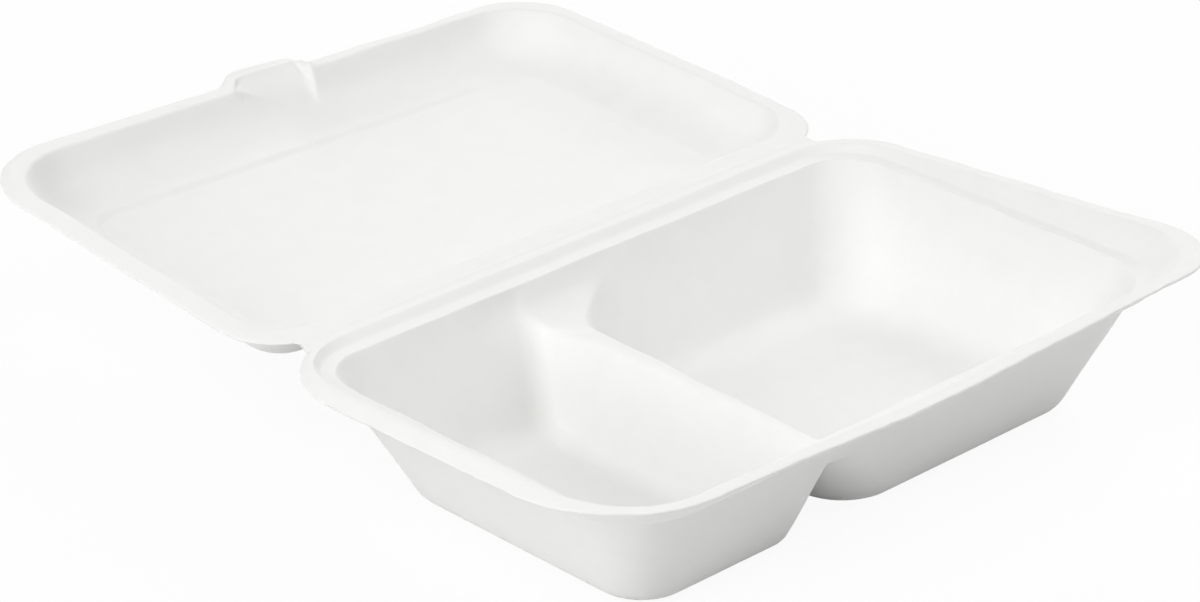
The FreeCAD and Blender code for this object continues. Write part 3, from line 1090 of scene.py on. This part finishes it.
        def air(z: np.ndarray) -> np.ndarray:
            """Distance above the moulding.

            Args:
                z: Height at each point.

            Returns:
                The distances, which rise with height.
            """
            main = round_meet(-self.hollow.away(x, y, z), z - floor, self.floor_round)
            ends = np.where(away > 0, away - self.tab_half + self.wall - 0.12 * z,
                            0.37 * (-away - self.tab_half + 0.3 - 2.5 * z))
            ends = np.maximum(np.maximum(ends, y - self.tab_lip), 132.0 - y)
            tab = round_meet(-ends, 0.7 * (z - scoop), 1.6)
            return round_edge(main, tab, 0.9)

        return solve_height(air, -self.depth - 3.0, 1.0, x.shape)

    def under_height(self, x: np.ndarray, y: np.ndarray) -> np.ndarray:
        """Height of the underside of the lid inside its flange.

        Args:
            x: X of the points.
            y: Y of the points.

        Returns:
            The heights.
        """
        floor = self.floor(x, y) - self.wall

        def solid(z: np.ndarray) -> np.ndarray:
            """Distance inside the filled lid.

            Args:
                z: Height at each point.

            Returns:
                The distances, which rise with height.
            """
            main = round_edge(self.hollow.away(x, y, z, self.slant), floor - z, self.foot_round)
            tab = round_edge(self.tab_outside(x, y, z), -self.tab_drop - z, 2.0)
            return -np.minimum(np.minimum(main, tab), -self.wall - z)

        return solve_height(solid, -self.depth - 4.0, 0.5, x.shape)

    def build(self) -> bpy.types.Object:
        """Build the lid's skin.

        Returns:
            The lid's object.
        """
        edge = self.hollow.outline(self.join)
        left, right, front, back = edge.sides
        loom = Loom(spacing(left, right, (0.8, 0.8), self.COLUMN_GAPS),
                    spacing(front, back, (0.8, 0.7), self.ROW_GAPS), self.reach)
        x, y = loom.grid(edge, self.shrink)
        bow = np.clip(1 - (back - y) / 14.0, 0.0, 1.0) ** 1.5 * self.tab(x)
        lean = self.tab_lean / self.tab_drop * self.join
        y = y + bow * (self.far + self.tab_reach - self.wall + lean - back)
        upper = np.stack([x, y, self.upper_height(x, y)], -1)
        x = x * (1 + self.slant / right * ramp(np.abs(x), 70.0, right - 70.0))
        y = y + self.slant * (ramp(y, 100.0, 45.0) - ramp(-y, -40.0, 30.0))
        under = np.stack([x, y, self.under_height(x, y)], -1)
        rings = self.rings(loom, edge, upper, under)
        skin = Skin(loom, self.lay(upper), self.lay(under), [self.lay(r) for r in rings])
        return skin.mesh("lid_shell")

    def rings(self, loom: Loom, edge: Outline, upper: np.ndarray,
              under: np.ndarray) -> list[np.ndarray]:
        """Rings from the lid's mouth over its flange and back underneath.

        Args:
            loom: Rows and columns of both faces.
            edge: Outline of the upper face's edge.
            upper: Points of the upper face.
            under: Points of the underside.

        Returns:
            The rings, from the upper face's edge to the underside's.
        """
        border, lower = loom.border(upper), loom.border(under)
        crest = loom.ring(self.hollow.outline(0.0), edge)
        rim = loom.ring(Outline(self.flange), edge)
        rim[:, 1] -= self.flange_sag.at(rim[:, 0]) * (rim[:, 1] > self.far_side)
        tab = (crest[:, 1] > self.far_side) * self.tab(crest[:, 0])
        crest[:, 1] += tab * (self.tab_lip - self.hollow.back.place)
        rim[:, 1] += tab * (self.tab_reach + 0.4)
        slope = 1.3 - 0.055 * (rim[:, 0] - self.tab_centre)
        normal = outward(crest, rim)
        free, plain = ramp(rim[:, 1], 0.0, self.hinge_run), 1 - tab[:, None]
        rim = rim + fray(rim, 23) * normal * free[:, None]
        crest = crest + CREST_FRAY * fray(crest, 24) * normal * plain
        left = np.clip(-normal[:, 0], 0.0, 1.0) ** 2
        right = np.clip(normal[:, 0], 0.0, 1.0) ** 2
        drop = (self.edge_drop * (1 - 0.8 * tab - 0.55 * right) + 0.3 * left) * free
        rim_z = self.edge_level - drop + self.tab_rise * tab * slope
        bend = rim - ((self.edge_width + 1.9 * left - 0.9 * right) * free)[:, None] * normal
        raised = self.tab_raise * tab * slope
        bend_z = raised + self.edge_level
        top = soften([border, lift(crest, raised), lift(bend, bend_z), lift(rim, rim_z)],
                     *self.TOP, 5)
        roll = [lift(rim + out * normal, rim_z - down * self.wall)
                for out, down in self.ROLL]
        bottom = soften([lift(rim - self.wall * normal, rim_z - 0.8 * self.wall),
                         lift(bend - 0.4 * self.wall * normal, bend_z - self.wall),
                         lift(crest + self.slant * normal * plain, -self.wall), lower],
                        *self.UNDER, 3)
        return top + roll + bottom

    def lay(self, points: np.ndarray) -> np.ndarray:
        """Lay flat points back about the crease, with the twist and unevenness.

        Args:
            points: Points of a face or a ring, in the lid's flat frame.

        Returns:
            The points in their opened place.
        """
        x, y, z = points[..., 0], points[..., 1], points[..., 2].copy()
        y = y - self.skew * x * y / 151.0
        x = x * (1.0 + self.spread * (x > 0) * ramp(y, *self.spread_run))
        free = ramp(y, *self.free_run)
        z += -self.twist * x * y + ripple(x, y, 21, 0.12, (25.0, 80.0)) * free
        y = y + ripple(x, z, 22, 0.10, (30.0, 90.0)) * free
        laid = np.empty_like(points)
        laid[..., 0] = x
        laid[..., 1] = y * math.cos(LID_TILT) - z * math.sin(LID_TILT) + CREASE_Y
        laid[..., 2] = y * math.sin(LID_TILT) + z * math.cos(LID_TILT) + LID_LEVEL
        return laid


@dataclass
class Crease:
    """Thin fold that joins the two halves, in millimetres.

    One soft sheet follows the line of the gap, flush with the rim on one side and the
    flange on the other, and ends in a rounded notch.
    """

    half: float = 107.5
    reach: float = 3.4
    spread: float = 1.4
    thick: float = 0.5
    flare: float = 0.1
    # the sheet widens over the last tenth of its length, and steps from rim to flange
    # over the middle of its width
    end_power: float = 12.0
    step_half: float = 0.8
    cover_level: float = 44.98
    # its middle stands proud, its two edges are tucked in, and more so at its ends
    proud: float = 0.09
    tuck: float = 0.22
    end_tuck: float = 0.5
    edge_share: float = 0.33
    points: int = 121
    sides: int = 40

    def steps(self) -> tuple[tuple[str | float, ...], ...]:
        """Sums that press a round rod, swept along X, to the sheet.

        Returns:
            Rows of a result's name, an operation and its terms. A term is a number, an
            input of the tree, or X, Y or Z of the rod, of which Y and Z lie on a unit
            circle.
        """
        return (
            ("side", "DIVIDE", "X", "Half"),
            ("span", "ABSOLUTE", "side"),
            ("ends", "POWER", "span", self.end_power),
            ("wide", "MULTIPLY_ADD", "ends", "Spread", "Reach"),
            ("out", "MULTIPLY", "Y", "wide"),
            ("even", "MULTIPLY", "Y", "Reach"),
            ("base", "MULTIPLY_ADD", "even", -RIM_SLOPE, RIM_LEVEL),
            ("cover", "MULTIPLY_ADD", "even", math.tan(LID_TILT), self.cover_level),
            ("level", "SMOOTHSTEP", "even", -self.step_half, self.step_half, "base", "cover"),
            ("square", "MULTIPLY", "Y", "Y"),
            ("dive", "MULTIPLY_ADD", "ends", -self.end_tuck, -self.tuck),
            ("sunk", "MULTIPLY_ADD", "square", "dive", self.proud),
            ("under", "MULTIPLY", "Thickness", -1.0),
            ("body", "LINEAR", "Z", -self.edge_share, self.edge_share, "under", 0.0),
            ("top", "ADD", "level", "sunk"),
            ("height", "ADD", "top", "body"),
            ("bowl", "MULTIPLY", "square", "side"),
            ("along", "MULTIPLY_ADD", "bowl", "Flare", "X"),
        )

    def press(self, tree: bpy.types.NodeTree, sizes: bpy.types.Node,
              spot: bpy.types.Node) -> bpy.types.NodeSocket:
        """Place on the sheet of each point of the rod.

        Args:
            tree: Tree of the fold.
            sizes: Its group input, with the fold's sizes.
            spot: Parts of a point's position.

        Returns:
            The position, in millimetres from the middle of the crease.
        """
        known = {socket.name: socket for node in (sizes, spot) for socket in node.outputs}
        for name, operation, *terms in self.steps():
            kind, setting = "ShaderNodeMath", "operation"
            if operation in ("SMOOTHSTEP", "LINEAR"):
                kind, setting = "ShaderNodeMapRange", "interpolation_type"
            inputs = {f"i{at}": known.get(term, term) for at, term in enumerate(terms)}
            known[name] = add_node(tree, kind, {setting: operation}, **inputs).outputs[0]
        return add_node(tree, "ShaderNodeCombineXYZ", X=known["along"], Y=known["out"],
                        Z=known["height"]).outputs[0]

    def tree(self, material: bpy.types.Material) -> bpy.types.NodeTree:
        """Node tree that sweeps a rod along the crease and presses it to a sheet.

        Args:
            material: The fold's finish.

        Returns:
            The tree, with an input for each of the fold's sizes.
        """
        tree = bpy.data.node_groups.new("crease_fold", "GeometryNodeTree")
        for name in ("Half", "Reach", "Spread", "Thickness", "Flare"):
            tree.interface.new_socket(name=name, in_out="INPUT", socket_type="NodeSocketFloat")
        tree.interface.new_socket(name="Fold", in_out="OUTPUT",
                                  socket_type="NodeSocketGeometry")
        sizes = add_node(tree, "NodeGroupInput")
        left = add_node(tree, "ShaderNodeMath", {"operation": "MULTIPLY"},
                        i0=sizes.outputs["Half"], i1=-1.0)
        start = add_node(tree, "ShaderNodeCombineXYZ", X=left.outputs[0])
        end = add_node(tree, "ShaderNodeCombineXYZ", X=sizes.outputs["Half"])
        line = add_node(tree, "GeometryNodeCurvePrimitiveLine", Start=start.outputs[0],
                        End=end.outputs[0])
        path = add_node(tree, "GeometryNodeResampleCurve", Curve=line.outputs[0],
                        Count=self.points)
        section = add_node(tree, "GeometryNodeCurvePrimitiveCircle", Resolution=self.sides,
                           Radius=1.0)
        rod = add_node(tree, "GeometryNodeCurveToMesh", Curve=path.outputs[0],
                       Profile_Curve=section.outputs[0], Fill_Caps=True)
        place = add_node(tree, "GeometryNodeInputPosition")
        spot = add_node(tree, "ShaderNodeSeparateXYZ", Vector=place.outputs[0])
        sheet = add_node(tree, "GeometryNodeSetPosition", Geometry=rod.outputs[0],
                         Position=self.press(tree, sizes, spot))
        laid = add_node(tree, "GeometryNodeTransform", Geometry=sheet.outputs[0],
                        Translation=(0.0, CREASE_Y * MM, 0.0), Scale=(MM, MM, MM))
        smooth = add_node(tree, "GeometryNodeSetShadeSmooth", Geometry=laid.outputs[0])
        whole = add_node(tree, "GeometryNodeRealizeInstances", Geometry=smooth.outputs[0])
        dressed = add_node(tree, "GeometryNodeSetMaterial", Geometry=whole.outputs[0],
                           Material=material)
        add_node(tree, "NodeGroupOutput", Fold=dressed.outputs[0])
        return tree

    def build(self, material: bpy.types.Material) -> bpy.types.Object:
        """Build the fold as a narrow sheet along the gap.

        Args:
            material: The fold's finish, which its tree sets.

        Returns:
            The fold's object, a plain mesh.
        """
        tree = self.tree(material)
        maker = bpy.data.objects.new("fold_maker", bpy.data.meshes.new("fold_maker"))
        bpy.context.collection.objects.link(maker)
        modifier = maker.modifiers.new("fold", "NODES")
        modifier.node_group = tree
        sizes = {"Half": self.half, "Reach": self.reach, "Spread": self.spread,
                 "Thickness": self.thick, "Flare": self.flare * self.reach ** 2}
        for item in tree.interface.items_tree:
            if item.in_out == "INPUT":
                modifier[item.identifier] = sizes[item.name]
        graph = bpy.context.evaluated_depsgraph_get()
        mesh = bpy.data.meshes.new_from_object(maker.evaluated_get(graph))
        mesh.name = "crease_fold"
        bpy.data.objects.remove(maker)
        fold = bpy.data.objects.new("crease_fold", mesh)
        bpy.context.collection.objects.link(fold)
        return fold


# ---------------------------------------------------------------------------- finishes


def blank_material(name: str) -> bpy.types.Material:
    """Make a material with an empty node tree.

    Args:
        name: Name of the material.

    Returns:
        The material.
    """
    material = bpy.data.materials.new(name)
    material.use_nodes = True
    material.node_tree.nodes.clear()
    return material


def seen_share(tree: bpy.types.NodeTree) -> bpy.types.NodeSocket:
    """Share of the plain white that a ray sees.

    Args:
        tree: Tree that gets the nodes.

    Returns:
        1 for light on its way to the eye, straight or by way of gloss or glass, else 0.
    """
    path = add_node(tree, "ShaderNodeLightPath")
    seen = add_node(tree, "ShaderNodeMath", {"operation": "MAXIMUM"},
                    i0=path.outputs["Is Camera Ray"], i1=path.outputs["Is Glossy Ray"])
    return add_node(tree, "ShaderNodeMath", {"operation": "MAXIMUM"}, i0=seen.outputs[0],
                    i1=path.outputs["Is Transmission Ray"]).outputs[0]


@dataclass(frozen=True)
class PressedPulp:
    """Bleached sugarcane fibre pulp, pressed between heated metal moulds.

    Long white fibres matted flat give a matt, chalky surface with a faint warm cast,
    soft cloudy density changes a few millimetres across and a fine fibrous tooth. A
    fibre is about a millimetre long and far thinner, so the tooth follows its length,
    the smallest size that shows.
    """

    name: str = "bleached_sugarcane_pulp"
    colour: str = "f4f4f3"
    cloud: str = "f0f0ee"
    roughness: float = 0.78
    ior: float = 1.46
    specular: float = 0.25
    cloud_mm: float = 9.0
    tooth_mm: float = 0.9
    tooth_height_mm: float = 0.25
    tooth_strength: float = 0.16

    def build(self) -> bpy.types.Material:
        """Make the material.

        Returns:
            The material, patterned on object coordinates.
        """
        material = blank_material(self.name)
        tree = material.node_tree
        place = add_node(tree, "ShaderNodeTexCoord").outputs["Object"]
        clouds = add_node(tree, "ShaderNodeTexNoise", Vector=place,
                          Scale=1.0 / (self.cloud_mm * MM), Detail=3.0, Roughness=0.6)
        mix = add_node(tree, "ShaderNodeMix", {"data_type": "RGBA"}, i0=clouds.outputs["Fac"],
                       i6=linear(self.colour), i7=linear(self.cloud))
        tooth = add_node(tree, "ShaderNodeTexNoise", Vector=place,
                         Scale=1.0 / (self.tooth_mm * MM), Detail=4.0, Roughness=0.62)
        bump = add_node(tree, "ShaderNodeBump", Height=tooth.outputs["Fac"],
                        Strength=self.tooth_strength, Distance=self.tooth_height_mm * MM)
        shader = add_node(tree, "ShaderNodeBsdfPrincipled", Base_Color=mix.outputs[2],
                          Roughness=self.roughness, IOR=self.ior,
                          Specular_IOR_Level=self.specular, Normal=bump.outputs["Normal"])
        add_node(tree, "ShaderNodeOutputMaterial", Surface=shader.outputs["BSDF"])
        return material


@dataclass(frozen=True)
class PaleFloor:
    """Matt painted board that shows as plain white and still takes a soft shadow."""

    name: str = "pale_floor"
    colour: str = "f4f4f4"
    glow: str = "ffffff"
    glow_share: float = 0.93

    def build(self) -> bpy.types.Material:
        """Make the material.

        Returns:
            The material, even all over.
        """
        material = blank_material(self.name)
        tree = material.node_tree
        share = add_node(tree, "ShaderNodeMath", {"operation": "MULTIPLY"},
                         i0=seen_share(tree), i1=self.glow_share)
        matt = add_node(tree, "ShaderNodeBsdfDiffuse", Color=linear(self.colour))
        white = add_node(tree, "ShaderNodeEmission", Color=linear(self.glow), Strength=1.0)
        mix = add_node(tree, "ShaderNodeMixShader", i0=share.outputs[0], i1=matt.outputs[0],
                       i2=white.outputs[0])
        add_node(tree, "ShaderNodeOutputMaterial", Surface=mix.outputs[0])
        return material


# ------------------------------------------------------------------------------ studio


@dataclass(frozen=True)
class Lamp:
    """Square soft lamp: its name, its place and size in metres, and its power."""

    name: str
    spot: tuple[float, float, float]
    size: float
    power: float

    def hang(self, aim: Vector) -> bpy.types.Object:
        """Hang the lamp so that it faces a point.

        Args:
            aim: The point.

        Returns:
            The lamp's object.
        """
        data = bpy.data.lights.new(self.name, "AREA")
        data.shape, data.size, data.energy = "SQUARE", self.size, self.power
        lamp = bpy.data.objects.new(self.name, data)
        lamp.location = self.spot
        lamp.rotation_euler = (aim - Vector(self.spot)).to_track_quat("-Z", "Y").to_euler()
        bpy.context.collection.objects.link(lamp)
        return lamp


@dataclass
class Studio:
    """Floor, lamps and camera round the container, in metres and degrees."""

    azimuth: float = -43.10
    elevation: float = 25.92
    roll: float = -0.66
    distance: float = 1.3339
    lens: float = 129.26
    sensor: float = 36.0
    shift: tuple[float, float] = (-0.00967, -0.00125)
    aim: tuple[float, float, float] = (0.0, 0.060, 0.030)
    floor_half: float = 6.0
    floor_level: float = -0.0002
    surroundings: float = 0.05
    lamps: tuple[Lamp, ...] = (
        Lamp("left_floor", (-2.18, 0.06, 0.34), 1.0, 5.2),
        Lamp("behind_right", (1.41, 1.47, 0.96), 1.3, 21.5),
        Lamp("left_low", (-1.99, 0.06, 0.96), 1.3, 17.5),
        Lamp("left_high", (-1.26, 0.06, 1.83), 1.3, 19.5),
        Lamp("right_low", (1.41, -1.35, 0.96), 1.3, 11.8),
        Lamp("right_high", (0.89, -0.83, 1.83), 1.3, 13.2))

    def floor(self) -> bpy.types.Object:
        """Wide pale floor under the container.

        Returns:
            The floor's object.
        """
        mesh = bpy.data.meshes.new("floor")
        half, level = self.floor_half, self.floor_level
        mesh.from_pydata([(-half, -half, level), (half, -half, level), (half, half, level),
                          (-half, half, level)], [], [(0, 1, 2, 3)])
        mesh.materials.append(PaleFloor().build())
        floor = bpy.data.objects.new("floor", mesh)
        bpy.context.collection.objects.link(floor)
        return floor

    def world(self) -> None:
        """Even pale surroundings, plain white where they are seen."""
        world = bpy.data.worlds.new("surroundings")
        world.use_nodes = True
        tree = world.node_tree
        tree.nodes.clear()
        soft = add_node(tree, "ShaderNodeBackground", Color=linear("ffffff"),
                        Strength=self.surroundings)
        white = add_node(tree, "ShaderNodeBackground", Color=linear("ffffff"), Strength=1.0)
        mix = add_node(tree, "ShaderNodeMixShader", i0=seen_share(tree), i1=soft.outputs[0],
                       i2=white.outputs[0])
        add_node(tree, "ShaderNodeOutputWorld", Surface=mix.outputs[0])
        bpy.context.scene.world = world

    def camera(self) -> bpy.types.Object:
        """Camera above the small compartment's front corner.

        Returns:
            The camera's object.
        """
        a, e, r = (math.radians(v) for v in (self.azimuth, self.elevation, self.roll))
        back = Vector((math.sin(a) * math.cos(e), -math.cos(a) * math.cos(e), math.sin(e)))
        right = Vector((math.cos(a), math.sin(a), 0.0))
        up = back.cross(right)
        across = right * math.cos(r) + up * math.sin(r)
        upward = up * math.cos(r) - right * math.sin(r)
        data = bpy.data.cameras.new("camera")
        data.lens, data.sensor_width, data.sensor_fit = self.lens, self.sensor, "HORIZONTAL"
        data.shift_x, data.shift_y = self.shift
        camera = bpy.data.objects.new("camera", data)
        spot = Vector(self.aim) + back * self.distance
        turn = Matrix((across, upward, back)).transposed().to_4x4()
        camera.matrix_world = Matrix.Translation(spot) @ turn
        bpy.context.collection.objects.link(camera)
        bpy.context.scene.camera = camera
        return camera

    def build(self) -> None:
        """Set up the floor, the surroundings, the lamps and the camera."""
        self.floor()
        self.world()
        for lamp in self.lamps:
            lamp.hang(Vector(self.aim))
        self.camera()


def main() -> None:
    """Build the container and its studio, piece by piece."""
    logging.basicConfig(level=logging.INFO)
    pulp = PressedPulp().build()
    base = BaseTray()
    tray = base.build()
    base.dress(tray, pulp)
    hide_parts("base_tray")
    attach(tray, Body.BASE.value)
    cover = Lid()
    lid = cover.build()
    cover.dress(lid, pulp)
    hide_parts("lid")
    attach(lid, Body.COVER.value)
    fold = Crease().build(pulp)
    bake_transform(fold)
    Studio().build()
    for piece in (tray, lid, fold):
        LOG.info("%s: %d faces", piece.name, len(piece.data.polygons))
    bpy.context.view_layer.update()


if __name__ == "__main__":
    main()
    bpy.context.scene.view_settings.view_transform = "Standard"
